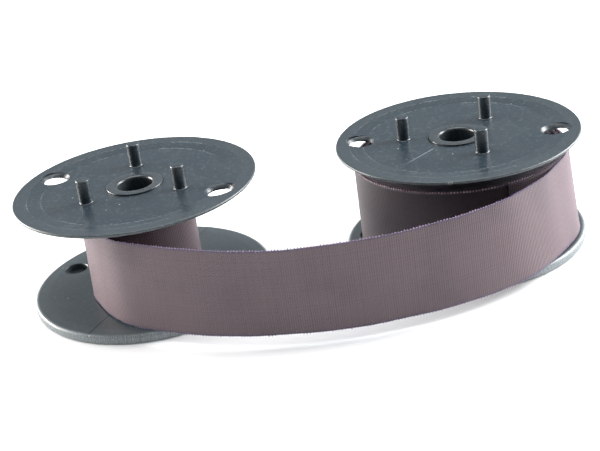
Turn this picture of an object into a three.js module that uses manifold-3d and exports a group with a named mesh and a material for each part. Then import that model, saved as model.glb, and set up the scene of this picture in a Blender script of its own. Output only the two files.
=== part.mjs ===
// Twin-spool ink ribbon for a printing calculator.
//
// Two flanged spools stand side by side on their base flanges, with their drive pins up. One
// woven ribbon is wound on both: the left spool is almost empty, the right one is nearly full,
// and the free ribbon runs from the outside of the left winding, round the front, to the outside
// of the right winding. Both spools therefore turn the same way when the ribbon is fed.
//
// Units are millimetres, +Z is up, -Y is the front. The origin is on the surface that the spools
// stand on, at the middle of the object's box.
import * as THREE from 'three';
import { mergeVertices } from 'three/addons/utils/BufferGeometryUtils.js';
import Module from 'manifold-3d';

// ---- Driving dimensions ----
const RIBBON_WIDTH = 12.7; // half-inch ink ribbon
const RIBBON_BODY = 0.3; // thickness of the solid that stands for the free ribbon
const SPOOL_PITCH = 48; // distance between the two spool axes
const FLANGE_R = 18;
const CLEARANCE = 0.3; // gap between pieces that touch on the real object

const BASE_THICK = 1.4; // base flange, the one that the spool stands on
const DRIVE_UNDER_Z = 16; // underside of the drive flange, near the hub
const DRIVE_THICK = 0.7;
const DISH_R = 13.9; // the drive flange is flat inside this radius and rises outside it
const DISH_STEP_R = 16; // second, gentler slope from here to the rim
const DISH_STEP_RISE = 0.25;
const DISH_RIM_RISE = 0.4;
const RIM_LAND = 0.35; // upright part of the drive flange's rim, between its two chamfers
const RIM_TOP_CHAMFER = 0.2;
const RIM_UNDER_CHAMFER = [0.3, 0.2]; // inwards and downwards
const BASE_FOOT_CHAMFER = 0.25;
const BASE_TOP_CHAMFER = 0.3;

const BORE_R = 2.6; // hole for the machine's spindle
const SPIGOT_R = 4.2; // hub ends that are pressed into the two flanges
const SPIGOT_PROUD = 0.25; // how far the upper spigot stands above the drive flange
const SPIGOT_CHAMFER = 0.15;
const BORE_CHAMFER = 0.35; // at the bore's upper mouth, which leads the spindle in
const HUB_FOOT_Z = 0.1; // the lower spigot stops just short of the surface the flange stands on
const DRUM_R = 6; // the hub's winding drum

const PIN_COUNT = 3;
const PIN_R = 0.98;
const PIN_HEIGHT = 3.55;
const PIN_CIRCLE_R = 7.9;
const PIN_TIP_CHAMFER = 0.25;

const EDGE_HOLE_R = 1.75; // two near the rim of each flange, opposite each other
const EDGE_HOLE_LIP = 0.45; // countersunk lip on each upper face, at 45 degrees
const LIP_OVERCUT = 0.3; // how far the countersink's cone runs on past the outer face
const CUT_PAST = 1; // how far a cutting tool stands clear of the piece it cuts
const EDGE_HOLE_CIRCLE_R = 14.3;
const EDGE_SOCKET_DEPTH = 1; // they go through the drive flange, but are blind in the base flange

const SLOT_WIDTH = 1.6; // slot in the drum for the ribbon's end and its wedge
const SLOT_FLOOR_R = 4.7;
const SLOT_ANGLE = 60; // degrees round from the first drive pin
const WEDGE_WIDTH = SLOT_WIDTH - 2 * CLEARANCE;
const WEDGE_OUTER_R = DRUM_R - 0.1; // just below the drum's surface, so that the ribbon lies flat

const EYELET_R = 2; // reversing eyelet, clinched on the ribbon close to its end
const EYELET_BARREL_R = 1.45;
const EYELET_HOLE_R = 1.05;
const EYELET_THICK = 0.7;
const EYELET_LEAF = 0.2; // thickness of each of its two clinched rims
const EYELET_ANGLE = 180;
const EYELET_SEAT_GAP = CLEARANCE + 0.05; // from the drum to the eyelet's inner rim
const EYELET_POCKET_DEPTH = 1.35; // space left for it inside the first turns

const LEFT_WINDING_R = 8; // the almost empty spool
const RIGHT_WINDING_R = 15.7; // the nearly full one

// Each spool: its name, where its axis stands, how far it is turned, and its winding's radius.
const SPOOLS = [
  { side: 'left', x: -SPOOL_PITCH / 2, turned: -29.5, windingR: LEFT_WINDING_R },
  { side: 'right', x: SPOOL_PITCH / 2, turned: 166.5, windingR: RIGHT_WINDING_R },
];

// The free ribbon's route. Its two ends lie round the windings, as [degrees, radius] about each
// axis; between them it crosses the front as [x, y] from the point midway between the axes.
const leadR = (winding) => winding + CLEARANCE + RIBBON_BODY / 2 + 0.05; // just clear of it
const LEFT_LEAD = [[90, leadR(LEFT_WINDING_R)], [110, 8.52], [132, 8.6], [155, 8.66], [180, 8.8],
  [204, 9.25], [226, 10.35], [243, 12.15]];
const FREE_RUN = [[-26.6, -14.6], [-19.7, -19.2], [-12.7, -22.5], [-5, -24.8], [4, -25.6],
  [12, -24.9], [20, -23.1], [27.4, -19.8], [32.7, -15.5]];
const RIGHT_LEAD = [[-44, 16.75], [-24, 16.6], [-4, 16.4], [15, leadR(RIGHT_WINDING_R)]];
const FRONT_REACH = 25.75; // how far the ribbon bulges in front of the axes
const AXIS_Y = (FRONT_REACH - FLANGE_R) / 2; // puts the origin at the middle of the box
const FLEX_POINT = 0.52; // where along its route the free ribbon is hinged
const FLEX_GAP = 0.4;
const LEFT_RUN_STEPS = 36;
const RIGHT_RUN_STEPS = 30;

const RIM_SIDES = 60;
const HUB_SIDES = 40;
const SMALL_SIDES = 18;

const windingZ = BASE_THICK + CLEARANCE;
const driveTopZ = DRIVE_UNDER_Z + DRIVE_THICK;
const rad = THREE.MathUtils.degToRad;

const wasm = await Module();
wasm.setup();

// ---- Helpers ----
function solid(geometry, matrix = new THREE.Matrix4()) {
  const bare = geometry.clone().applyMatrix4(matrix);
  bare.deleteAttribute('normal');
  bare.deleteAttribute('uv');
  const merged = mergeVertices(bare, 1e-5);
  return new wasm.Manifold(new wasm.Mesh({
    numProp: 3,
    vertProperties: new Float32Array(merged.attributes.position.array),
    triVerts: new Uint32Array(merged.index.array),
  }));
}

function geometryOf(manifold) {
  const mesh = manifold.getMesh();
  const geometry = new THREE.BufferGeometry();
  geometry.setAttribute('position', new THREE.BufferAttribute(mesh.vertProperties, 3));
  geometry.setIndex(new THREE.BufferAttribute(mesh.triVerts, 1));
  geometry.computeVertexNormals();
  return geometry;
}

// A solid turned about Z from an open [radius, z] outline that starts and ends on the axis.
function turnedOnAxis(outline, sides) {
  const points = outline.map(([r, z]) => new THREE.Vector2(r, z));
  return new THREE.LatheGeometry(points, sides).rotateX(Math.PI / 2);
}

// A ring turned about Z from a closed [radius, z] outline, given anticlockwise.
function turned(outline, sides) {
  return turnedOnAxis([...outline, outline[0]], sides);
}

function polar(degrees, radius, z = 0) {
  return new THREE.Vector3(radius * Math.cos(rad(degrees)), radius * Math.sin(rad(degrees)), z);
}

function at(degrees, radius, z = 0) {
  const place = polar(degrees, radius, z);
  return new THREE.Matrix4().makeTranslation(place.x, place.y, place.z);
}

function mesh(name, geometry, material) {
  const piece = new THREE.Mesh(geometry, material);
  piece.name = name;
  return piece;
}

// ---- Materials ----
const plastic = () => new THREE.MeshStandardMaterial({ color: 0x3c4448, roughness: 0.38, metalness: 0 });
const hubPlastic = () => new THREE.MeshStandardMaterial({ color: 0x30373b, roughness: 0.35, metalness: 0 });
const nylon = () => new THREE.MeshStandardMaterial({ color: 0x5c5057, roughness: 0.75, metalness: 0 });
const brass = () => new THREE.MeshStandardMaterial({ color: 0xb08a4a, roughness: 0.35, metalness: 1 });

// ---- Spool pieces, each made about its own axis with the first drive pin towards +X ----
const edgeHoles = [0, 180]; // degrees

// The tool for an edge hole that goes down from a flange's upper face at faceZ to bottom.
function holeTool(faceZ, bottom) {
  const wide = EDGE_HOLE_R + EDGE_HOLE_LIP + LIP_OVERCUT;
  const top = faceZ + CUT_PAST;
  return turnedOnAxis([
    [0, bottom],
    [EDGE_HOLE_R, bottom],
    [EDGE_HOLE_R, faceZ - EDGE_HOLE_LIP],
    [wide, faceZ + LIP_OVERCUT],
    [wide, top],
    [0, top],
  ], SMALL_SIDES);
}

function driveFlange() {
  const innerR = SPIGOT_R + CLEARANCE;
  const rimZ = driveTopZ + DISH_RIM_RISE;
  const landTop = rimZ - RIM_TOP_CHAMFER;
  const landFoot = landTop - RIM_LAND;
  const [underIn, underDown] = RIM_UNDER_CHAMFER;
  let body = solid(turned([
    [innerR, DRIVE_UNDER_Z],
    [DISH_R, DRIVE_UNDER_Z],
    [FLANGE_R - underIn, landFoot - underDown],
    [FLANGE_R, landFoot],
    [FLANGE_R, landTop],
    [FLANGE_R - RIM_TOP_CHAMFER, rimZ],
    [DISH_STEP_R, driveTopZ + DISH_STEP_RISE],
    [DISH_R, driveTopZ],
    [innerR, driveTopZ],
  ], RIM_SIDES));
  for (const degrees of edgeHoles) {
    const tool = holeTool(driveTopZ, DRIVE_UNDER_Z - CUT_PAST);
    body = body.subtract(solid(tool, at(degrees, EDGE_HOLE_CIRCLE_R)));
  }
  const pinFoot = DRIVE_UNDER_Z + DRIVE_THICK / 2;
  const pinTip = driveTopZ + PIN_HEIGHT;
  const pin = turnedOnAxis([
    [0, pinFoot],
    [PIN_R, pinFoot],
    [PIN_R, pinTip - PIN_TIP_CHAMFER],
    [PIN_R - PIN_TIP_CHAMFER, pinTip],
    [0, pinTip],
  ], SMALL_SIDES);
  for (let i = 0; i < PIN_COUNT; i += 1) {
    body = body.add(solid(pin, at((i * 360) / PIN_COUNT, PIN_CIRCLE_R)));
  }
  return geometryOf(body);
}

function baseFlange() {
  const innerR = SPIGOT_R + CLEARANCE;
  let body = solid(turned([
    [innerR, 0],
    [FLANGE_R - BASE_FOOT_CHAMFER, 0],
    [FLANGE_R, BASE_FOOT_CHAMFER],
    [FLANGE_R, BASE_THICK - BASE_TOP_CHAMFER],
    [FLANGE_R - BASE_TOP_CHAMFER, BASE_THICK],
    [innerR, BASE_THICK],
  ], RIM_SIDES));
  for (const degrees of edgeHoles) {
    const tool = holeTool(BASE_THICK, BASE_THICK - EDGE_SOCKET_DEPTH);
    body = body.subtract(solid(tool, at(degrees, EDGE_HOLE_CIRCLE_R)));
  }
  return geometryOf(body);
}

function hub() {
  const drumTop = DRIVE_UNDER_Z - CLEARANCE;
  const topZ = driveTopZ + SPIGOT_PROUD;
  const body = solid(turned([
    [BORE_R, HUB_FOOT_Z],
    [SPIGOT_R, HUB_FOOT_Z],
    [SPIGOT_R, windingZ],
    [DRUM_R, windingZ],
    [DRUM_R, drumTop],
    [SPIGOT_R, drumTop],
    [SPIGOT_R, topZ - SPIGOT_CHAMFER],
    [SPIGOT_R - SPIGOT_CHAMFER, topZ],
    [BORE_R + BORE_CHAMFER, topZ],
    [BORE_R, topZ - BORE_CHAMFER],
  ], HUB_SIDES));
  const slot = new THREE.BoxGeometry(2 * (DRUM_R - SLOT_FLOOR_R), SLOT_WIDTH, 2 * DRIVE_UNDER_Z);
  slot.translate(DRUM_R, 0, 0).rotateZ(rad(SLOT_ANGLE));
  return geometryOf(body.subtract(solid(slot)));
}

function ribbonWedge() {
  const innerR = SLOT_FLOOR_R + CLEARANCE;
  const depth = WEDGE_OUTER_R - innerR;
  const box = new THREE.BoxGeometry(depth, WEDGE_WIDTH, RIBBON_WIDTH);
  return box
    .translate(innerR + depth / 2, 0, windingZ + CLEARANCE + RIBBON_WIDTH / 2)
    .rotateZ(rad(SLOT_ANGLE));
}

function eyelet() {
  const leaf = EYELET_LEAF;
  const outline = [
    [EYELET_HOLE_R, 0],
    [EYELET_R, 0],
    [EYELET_R, leaf],
    [EYELET_BARREL_R, leaf],
    [EYELET_BARREL_R, EYELET_THICK - leaf],
    [EYELET_R, EYELET_THICK - leaf],
    [EYELET_R, EYELET_THICK],
    [EYELET_HOLE_R, EYELET_THICK],
  ];
  return turned(outline, SMALL_SIDES)
    .rotateY(Math.PI / 2)
    .translate(DRUM_R + EYELET_SEAT_GAP, 0, windingZ + RIBBON_WIDTH / 2)
    .rotateZ(rad(EYELET_ANGLE));
}

function winding(outerR) {
  const innerR = DRUM_R + CLEARANCE;
  const topZ = windingZ + RIBBON_WIDTH;
  const body = solid(turned([
    [innerR, windingZ], [outerR, windingZ], [outerR, topZ], [innerR, topZ],
  ], RIM_SIDES));
  const half = (EYELET_R + CLEARANCE) / innerR; // half the angle that the eyelet's pocket spans
  const sector = new THREE.Shape();
  sector.absarc(0, 0, innerR + EYELET_POCKET_DEPTH, -half, half, false);
  sector.lineTo(BORE_R, 0);
  const pocket = new THREE.ExtrudeGeometry(sector, {
    depth: 2 * (EYELET_R + CLEARANCE), bevelEnabled: false, curveSegments: 8,
  });
  pocket.translate(0, 0, windingZ + RIBBON_WIDTH / 2 - EYELET_R - CLEARANCE);
  pocket.rotateZ(rad(EYELET_ANGLE));
  return geometryOf(body.subtract(solid(pocket)));
}

// ---- The free ribbon ----
function ribbonRoute() {
  const roundAxis = (lead, x) => lead.map(([degrees, r]) => {
    const place = polar(degrees, r);
    return place.setX(place.x + x);
  });
  const left = roundAxis(LEFT_LEAD, -SPOOL_PITCH / 2);
  const right = roundAxis(RIGHT_LEAD, SPOOL_PITCH / 2);
  const front = FREE_RUN.map(([x, y]) => new THREE.Vector3(x, y, 0));
  return new THREE.CatmullRomCurve3([...left, ...front, ...right], false, 'centripetal');
}

// The stretch of the ribbon between two shares of its route, as an upright strip.
function ribbonStrip(route, from, to, steps) {
  const near = [];
  const far = [];
  for (let i = 0; i <= steps; i += 1) {
    const share = from + ((to - from) * i) / steps;
    const point = route.getPointAt(share);
    const along = route.getTangentAt(share);
    const across = new THREE.Vector2(-along.y, along.x).multiplyScalar(RIBBON_BODY / 2);
    const middle = new THREE.Vector2(point.x, point.y);
    near.push(middle.clone().add(across));
    far.unshift(middle.sub(across));
  }
  const strip = new THREE.ExtrudeGeometry(new THREE.Shape([...far, ...near]), {
    depth: RIBBON_WIDTH, bevelEnabled: false,
  });
  return strip.translate(0, 0, windingZ);
}

// ---- Assembly ----
function spool({ side, x, turned: degrees, windingR }) {
  const group = new THREE.Group();
  group.position.set(x, AXIS_Y, 0);
  group.rotation.z = rad(degrees);
  group.add(
    mesh(`${side}_drive_flange`, driveFlange(), plastic()),
    mesh(`${side}_hub`, hub(), hubPlastic()),
    mesh(`${side}_base_flange`, baseFlange(), plastic()),
    mesh(`${side}_ribbon_wedge`, ribbonWedge(), hubPlastic()),
    mesh(`${side}_eyelet`, eyelet(), brass()),
    mesh(`${side}_winding`, winding(windingR), nylon()),
  );
  return group;
}

function freeRibbon() {
  const route = ribbonRoute();
  const gap = FLEX_GAP / route.getLength() / 2;
  const group = new THREE.Group();
  group.position.y = AXIS_Y;
  group.add(
    mesh('left_ribbon_run', ribbonStrip(route, 0, FLEX_POINT - gap, LEFT_RUN_STEPS), nylon()),
    mesh('right_ribbon_run', ribbonStrip(route, FLEX_POINT + gap, 1, RIGHT_RUN_STEPS), nylon()),
  );
  return group;
}

const twinSpoolRibbon = new THREE.Group();
for (const each of SPOOLS) twinSpoolRibbon.add(spool(each));
twinSpoolRibbon.add(freeRibbon());

export default twinSpoolRibbon;
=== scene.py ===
import logging
import math
from dataclasses import dataclass
from enum import Enum
from typing import Sequence

import bpy
import numpy as np
from mathutils import Matrix, Vector


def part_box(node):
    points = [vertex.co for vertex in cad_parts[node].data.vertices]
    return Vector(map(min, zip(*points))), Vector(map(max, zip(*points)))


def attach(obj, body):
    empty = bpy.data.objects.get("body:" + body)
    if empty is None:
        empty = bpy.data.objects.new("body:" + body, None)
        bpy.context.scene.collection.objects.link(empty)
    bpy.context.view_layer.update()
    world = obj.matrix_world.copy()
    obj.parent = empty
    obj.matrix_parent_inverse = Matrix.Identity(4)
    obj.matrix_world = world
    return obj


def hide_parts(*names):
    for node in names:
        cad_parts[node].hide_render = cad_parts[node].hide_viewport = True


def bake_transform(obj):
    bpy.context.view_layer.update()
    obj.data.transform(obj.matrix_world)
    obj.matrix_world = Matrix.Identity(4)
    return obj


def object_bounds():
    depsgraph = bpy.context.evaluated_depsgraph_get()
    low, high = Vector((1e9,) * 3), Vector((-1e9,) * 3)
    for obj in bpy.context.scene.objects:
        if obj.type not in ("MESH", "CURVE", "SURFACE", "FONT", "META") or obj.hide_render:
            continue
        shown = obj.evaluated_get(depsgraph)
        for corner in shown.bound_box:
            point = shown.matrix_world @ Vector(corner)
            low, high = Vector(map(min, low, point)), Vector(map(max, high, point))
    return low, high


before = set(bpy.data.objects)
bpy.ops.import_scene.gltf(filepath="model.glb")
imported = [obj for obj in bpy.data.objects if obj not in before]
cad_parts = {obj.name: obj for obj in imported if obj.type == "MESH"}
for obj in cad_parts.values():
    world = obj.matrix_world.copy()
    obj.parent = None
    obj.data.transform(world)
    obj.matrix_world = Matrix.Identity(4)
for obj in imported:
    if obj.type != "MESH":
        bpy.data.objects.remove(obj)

LOG = logging.getLogger("ink_ribbon")
MM = 0.001
CAD_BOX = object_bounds()

# Places that the two spools share, in millimetres from the spool's own axis.
FLANGE_R = 18.0
BORE_R = 2.6  # hole for the machine's spindle
SPIGOT_R = 4.2  # the hub's ends, pressed into the flanges
DRUM_R = 6.0  # the hub's winding drum
JOINT_LINE = 0.035  # gap left to see between the spigot and its flange
PIN_CIRCLE_R = 7.9
EDGE_HOLE_CIRCLE_R = 14.3
EDGE_HOLE_R = 1.75
DISH_R = 13.9  # the drive flange is flat inside this radius
DISH_STEP_R = 15.9  # and rises more gently outside this one
PIN_COUNT = 3
EDGE_HOLE_COUNT = 2
SLOT_ANGLE = 60.0  # degrees from the first drive pin to the slot that holds the ribbon's end
KNIT_ANGLE = 90.0  # degrees from the first drive pin to the mould's knit line
EYELET_ANGLE = 180.0
TAPE_WIDTH = 12.7  # half-inch tape

Piece = bpy.types.Object
Material = bpy.types.Material
Tree = bpy.types.NodeTree
Socket = bpy.types.NodeSocket
Outline = Sequence[tuple[float, float]]  # (distance from the axis, height), in millimetres
Corner = tuple[float, float, float]  # the same, and the corner's fillet

# The kinds of node that are used most, and settings that often go with them.
MATHS = "ShaderNodeMath"
VECTOR_MATHS = "ShaderNodeVectorMath"
STEP = "ShaderNodeMapRange"
MIX = "ShaderNodeMix"
NOISE = "ShaderNodeTexNoise"
SPLIT = "ShaderNodeSeparateXYZ"
JOIN = "ShaderNodeCombineXYZ"
COORDINATES = "ShaderNodeTexCoord"
BUMP = "ShaderNodeBump"
SMOOTH = {"interpolation_type": "SMOOTHSTEP"}
COLOURS = {"data_type": "RGBA"}
IN_A_LINE = {"noise_dimensions": "1D"}


class Side(Enum):
    """The two spools."""

    LEFT = "left"
    RIGHT = "right"


class Mark(Enum):
    """A fine straight mark on a moulded face, along the spool's own X axis."""

    NONE = "none"
    KNIT_LINE = "knit_line"
    SCRATCH = "scratch"


# ---- Small tools -------------------------------------------------------------------------


def linear(hex_colour: str) -> tuple[float, float, float, float]:
    """Turns an sRGB hex colour into the linear colour that shaders read.

    Args:
        hex_colour: A colour such as "#3c4448".

    Returns:
        Red, green, blue and alpha, each from 0 to 1.
    """
    parts = [int(hex_colour[i : i + 2], 16) / 255 for i in (1, 3, 5)]
    red, green, blue = [p / 12.92 if p <= 0.04045 else ((p + 0.055) / 1.055) ** 2.4 for p in parts]
    return red, green, blue, 1.0


def feed(tree: Tree, socket: Socket, value: object) -> None:
    """Links another node's socket to an input, or sets the input's own value.

    Args:
        tree: The node tree.
        socket: The input.
        value: The socket or the value.
    """
    if isinstance(value, Socket):
        tree.links.new(value, socket)
    else:
        socket.default_value = value


def add_node(tree: Tree, kind: str, *in_turn: object, **named: object) -> Socket | None:
    """Adds one node, with its settings and with what feeds its inputs.

    Args:
        tree: The node tree that it goes in.
        kind: The node's type name.
        *in_turn: A socket to link or a value to set, for each of its first inputs in use.
        **named: The node's own settings in small letters; and where the name has a capital, a
            socket or a value for the input of that name, with _ for a space.

    Returns:
        The node's first output in use, if it has one. The node itself is that socket's node.
    """
    node = tree.nodes.new(kind)
    for name in filter(str.islower, named):
        setattr(node, name, named[name])
    inputs = [socket for socket in node.inputs if socket.enabled]
    for socket, value in zip(inputs, in_turn):
        feed(tree, socket, value)
    for socket in inputs:
        name = socket.name.replace(" ", "_")
        if name in named:
            feed(tree, socket, named[name])
    return next((socket for socket in node.outputs if socket.enabled), None)


def blotches(size_mm: float, detail: float = 2.0) -> dict[str, float]:
    """Settings for noise over coordinates in metres, with blotches about size_mm across."""
    return {"Scale": 1 / (size_mm * MM), "Detail": detail, "Roughness": 0.55}


def rounded(corners: Sequence[Corner], steps: int = 5) -> Outline:
    """Rounds the corners of a closed outline.

    Args:
        corners: The outline's corners, anticlockwise, each with its fillet.
        steps: Straight stretches in each fillet.

    Returns:
        The outline's points.
    """
    points = []
    for i, (r, z, fillet) in enumerate(corners):
        here = np.array([r, z])
        if fillet == 0:
            points.append(here)
            continue
        before = np.array(corners[i - 1][:2]) - here
        after = np.array(corners[(i + 1) % len(corners)][:2]) - here
        start = here + before / np.linalg.norm(before) * fillet
        end = here + after / np.linalg.norm(after) * fillet
        for t in np.linspace(0, 1, steps + 1):
            points.append((1 - t) ** 2 * start + 2 * t * (1 - t) * here + t**2 * end)
    return [(float(r), float(z)) for r, z in points]


def mesh_object(
    name: str, points: Sequence, faces: Sequence[Sequence[int]], edges: Sequence[Sequence[int]] = ()
) -> Piece:
    """Makes a mesh object in the scene.

    Args:
        name: The object's name.
        points: Its points, in metres.
        faces: Each face's points, by number.
        edges: Edges that belong to no face.

    Returns:
        The object.
    """
    mesh = bpy.data.meshes.new(name)
    mesh.from_pydata([tuple(p) for p in points], edges, faces)
    mesh.validate()
    made = bpy.data.objects.new(name, mesh)
    bpy.context.scene.collection.objects.link(made)
    return made


def turned(name: str, outline: Outline, sides: int) -> Piece:
    """Turns a closed outline about Z, as a lathe does.

    Args:
        name: The new object's name.
        outline: Its points, anticlockwise.
        sides: Steps round the axis.

    Returns:
        A closed mesh whose faces point outwards.
    """
    points, rings = [], []
    for r, z in outline:
        count = sides if r else 1
        rings.append([len(points) + i for i in range(count)])
        for i in range(count):
            angle = 2 * math.pi * i / sides
            points.append((r * math.cos(angle) * MM, r * math.sin(angle) * MM, z * MM))
    faces = []
    for low, high in zip(rings, rings[1:] + rings[:1]):
        for i in range(sides):
            j = (i + 1) % sides
            ends = (low[i % len(low)], low[j % len(low)], high[j % len(high)], high[i % len(high)])
            corners = list(dict.fromkeys(ends))
            if len(corners) > 2:
                faces.append(corners)
    return mesh_object(name, points, faces)


def settled(piece: Piece) -> Piece:
    """Bakes a piece's modifiers into its mesh and removes them.

    Args:
        piece: The piece with its modifiers.

    Returns:
        The same piece, as a plain mesh.
    """
    bpy.context.view_layer.update()
    graph = bpy.context.evaluated_depsgraph_get()
    mesh = bpy.data.meshes.new_from_object(piece.evaluated_get(graph), depsgraph=graph)
    piece.modifiers.clear()
    old, piece.data = piece.data, mesh
    mesh.name = piece.name
    bpy.data.meshes.remove(old)
    return piece


def machined(piece: Piece, tool: Piece, operation: str) -> Piece:
    """Cuts a tool's shape out of a piece, or joins it on, and discards the tool.

    Args:
        piece: The piece being made.
        tool: A closed mesh.
        operation: "DIFFERENCE" or "UNION".

    Returns:
        The piece, as a plain mesh.
    """
    cut = piece.modifiers.new(operation, "BOOLEAN")
    cut.operation = operation
    cut.solver = "EXACT"
    cut.object = tool
    settled(piece)
    spare = tool.data
    bpy.data.objects.remove(tool)
    bpy.data.meshes.remove(spare)
    return piece


def shaded(piece: Piece, crease: float) -> Piece:
    """Shades a piece smooth, except at edges sharper than the crease.

    Args:
        piece: The piece.
        crease: The least angle that stays sharp, in degrees.

    Returns:
        The same piece.
    """
    piece.data.shade_smooth()
    piece.data.set_sharp_from_angle(angle=math.radians(crease))
    return piece


def dressed(piece: Piece, finish: Material) -> Piece:
    """Gives a piece its one material.

    Args:
        piece: The piece.
        finish: Its material.

    Returns:
        The same piece.
    """
    piece.data.materials.clear()
    piece.data.materials.append(finish)
    return piece


# ---- Finishes ----------------------------------------------------------------------------


@dataclass(frozen=True)
class Finish:
    """What every finish has: its name, an empty material, a way to lay on tints and its end."""

    name: str

    def begun(self) -> tuple[Material, Tree]:
        """Makes the material with its bare shader.

        Returns:
            The material and its node tree.
        """
        material = bpy.data.materials.new(self.name)
        material.use_nodes = True
        return material, material.node_tree

    def ended(self, material: Material, **inputs: object) -> Material:
        """Feeds the material's shader.

        Args:
            material: The material.
            **inputs: A socket or a value for each of the shader's inputs, with _ for a space.

        Returns:
            The same material.
        """
        tree = material.node_tree
        for name, value in inputs.items():
            feed(tree, tree.nodes["Principled BSDF"].inputs[name.replace("_", " ")], value)
        return material

    def tinted(self, tree: Tree, colour: object, *tints: tuple) -> Socket:
        """Lays tints over a colour, one after another.

        Args:
            tree: The material's node tree.
            colour: The colour underneath.
            *tints: For each, the value that says where it lies, where it starts to show and where
                it shows in full, the most of it that shows, and its sRGB hex colour.

        Returns:
            The colour with its tints.
        """
        for where, start, full, most, tint in tints:
            share = add_node(tree, STEP, where, start, full, 0.0, most, **SMOOTH)
            colour = add_node(tree, MIX, share, colour, linear(tint), **COLOURS)
        return colour


@dataclass
class Face:
    """A moulded face's pattern while it is being put together."""

    tree: Tree
    place: Socket  # coordinates from the spool's axis, in metres
    radius_mm: Socket
    arc_mm: Socket  # way round the rim
    colour: Socket
    height: Socket

    def paint(self, tint: str, *shares: object) -> None:
        """Lays a tint over the colour, as strongly as the product of its shares.

        Args:
            tint: Its sRGB hex colour.
            *shares: Two or more sockets or numbers, from 0 to 1.
        """
        share, *others = shares
        for other in others:
            share = add_node(self.tree, MATHS, share, other, operation="MULTIPLY")
        self.colour = add_node(self.tree, MIX, share, self.colour, linear(tint), **COLOURS)

    def raise_by(self, where: Socket, much: float) -> None:
        """Raises the face there by so much of its grain's depth."""
        self.height = add_node(self.tree, MATHS, where, much, self.height, operation="MULTIPLY_ADD")


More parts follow.
